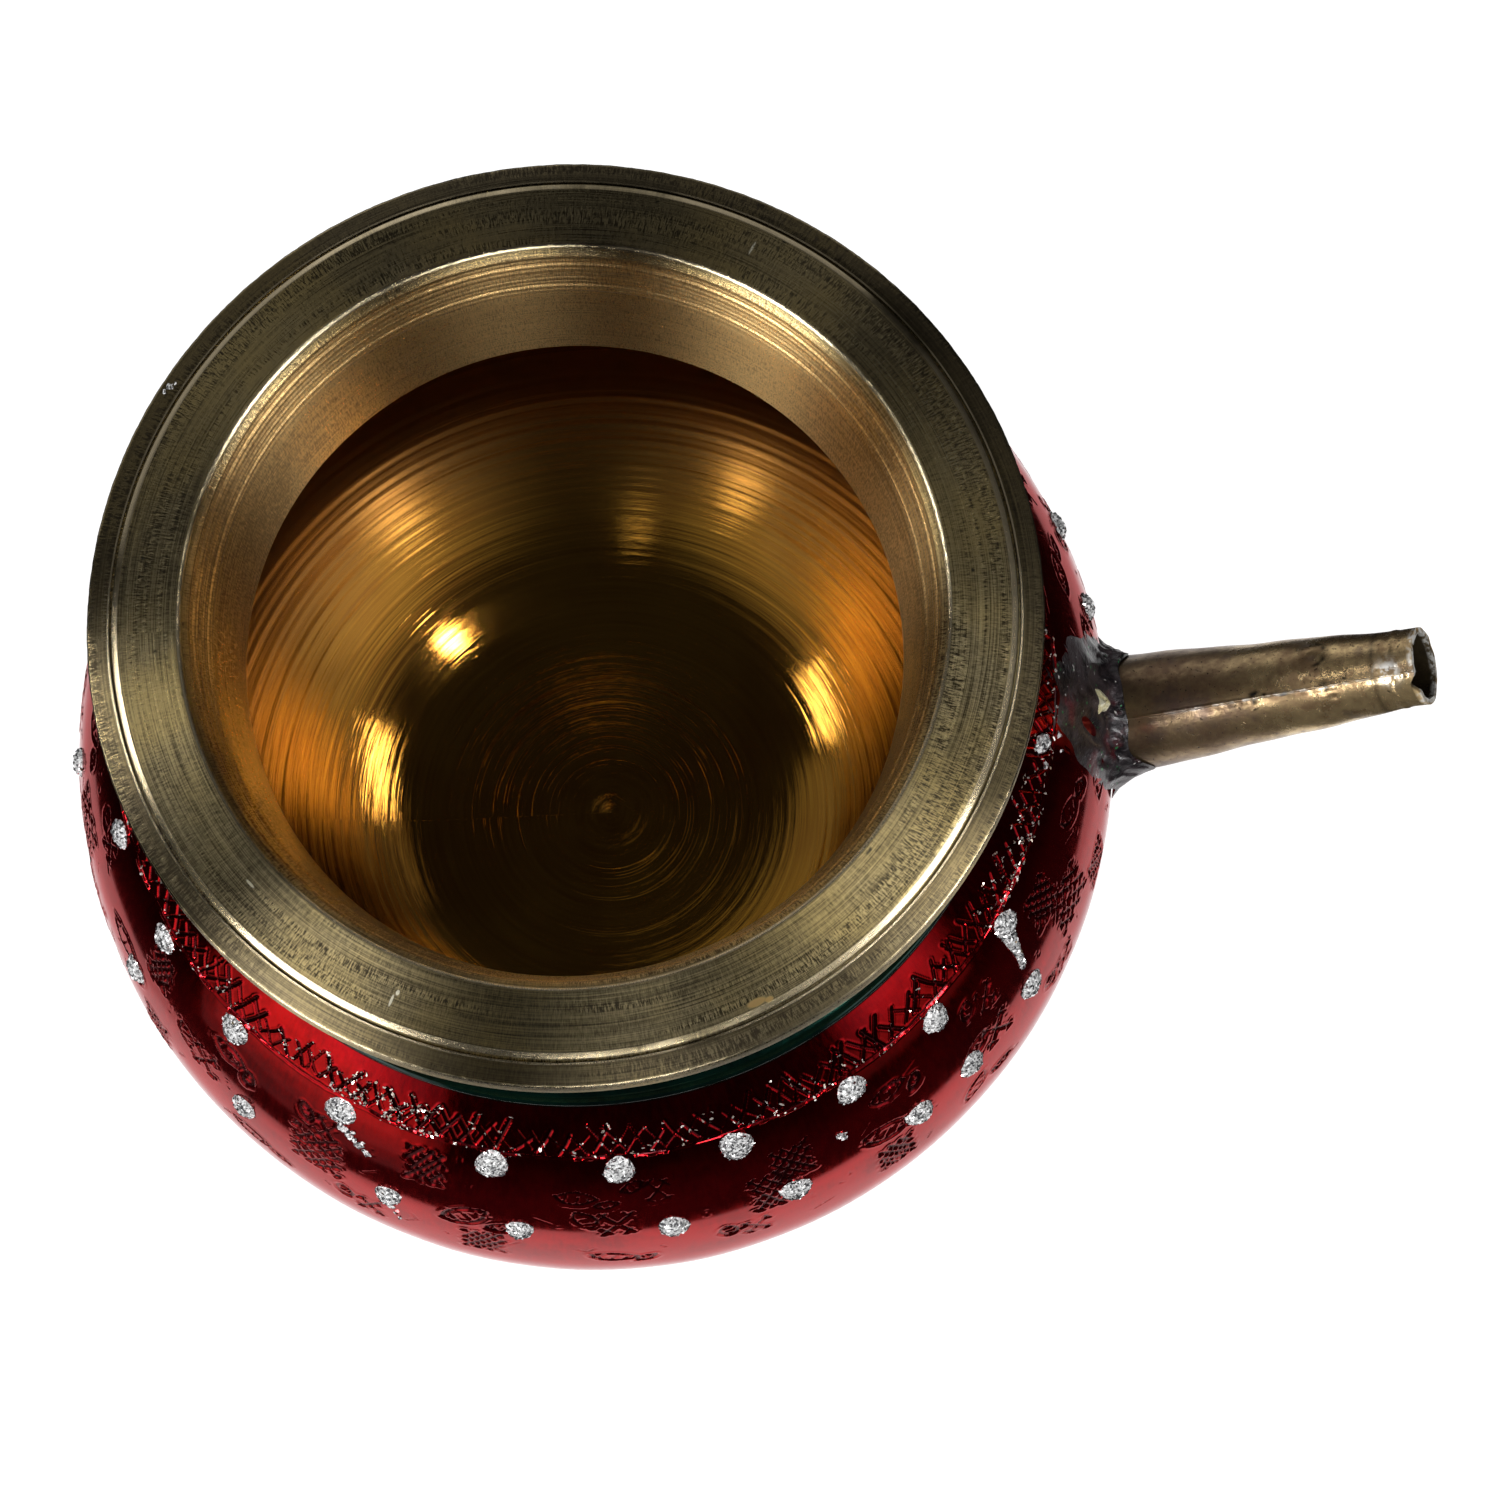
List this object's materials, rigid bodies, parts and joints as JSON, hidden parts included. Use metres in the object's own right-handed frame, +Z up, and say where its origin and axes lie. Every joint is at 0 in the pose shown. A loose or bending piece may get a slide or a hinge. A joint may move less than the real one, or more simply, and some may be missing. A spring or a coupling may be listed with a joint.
{
  "type": "spouted water pot",
  "caption": "Small round-bellied brass water pot with a wide turned rim, a straight rolled spout soldered to the belly, red lacquer outside and raised glitter dots round the shoulder.",
  "frame": {"origin": "centre of the foot's flat underside, on the pot's axis", "axes": "+Z up along the pot's axis, +X along the spout's direction seen from above"},
  "size_m": [0.1106, 0.0848, 0.0691],
  "materials": {
    "turned_brass": "tarnished turned brass with fine lathe lines",
    "red_lacquer": "glossy clear red lacquer over engraved brass, bare polished brass inside",
    "foot_brass": "plain turned brass",
    "rolled_brass": "tarnished rolled sheet brass with a lapped seam",
    "lacquered_solder": "rough dark lacquered solder",
    "silver_glitter": "raised dots of silver glitter in clear paint"
  },
  "bodies": {
    "root": {"mouth_ring": "turned_brass", "upper_bowl": "red_lacquer", "lower_bowl": "red_lacquer", "foot": "foot_brass", "spout_tube": "rolled_brass", "spout_collar": "lacquered_solder", "dot_upper_01": "silver_glitter", "dot_upper_02": "silver_glitter", "dot_upper_03": "silver_glitter", "dot_upper_04": "silver_glitter", "dot_upper_05": "silver_glitter", "dot_upper_06": "silver_glitter", "dot_upper_07": "silver_glitter", "dot_upper_08": "silver_glitter", "dot_upper_09": "silver_glitter", "dot_upper_10": "silver_glitter", "dot_upper_11": "silver_glitter", "dot_upper_12": "silver_glitter", "dot_upper_13": "silver_glitter", "dot_upper_14": "silver_glitter", "dot_upper_15": "silver_glitter", "dot_upper_16": "silver_glitter", "dot_upper_17": "silver_glitter", "dot_upper_18": "silver_glitter", "dot_upper_19": "silver_glitter", "dot_lower_01": "silver_glitter", "dot_lower_02": "silver_glitter", "dot_lower_03": "silver_glitter", "dot_lower_04": "silver_glitter", "dot_lower_05": "silver_glitter", "dot_lower_06": "silver_glitter", "dot_lower_07": "silver_glitter", "dot_lower_08": "silver_glitter", "dot_lower_09": "silver_glitter", "dot_lower_10": "silver_glitter", "dot_lower_11": "silver_glitter", "dot_lower_12": "silver_glitter", "dot_lower_13": "silver_glitter", "dot_lower_14": "silver_glitter", "dot_lower_15": "silver_glitter", "dot_lower_16": "silver_glitter", "dot_lower_17": "silver_glitter", "dot_lower_18": "silver_glitter", "dot_lower_19": "silver_glitter", "dot_lower_20": "silver_glitter", "dot_lower_21": "silver_glitter"}
  },
  "joints": []
}
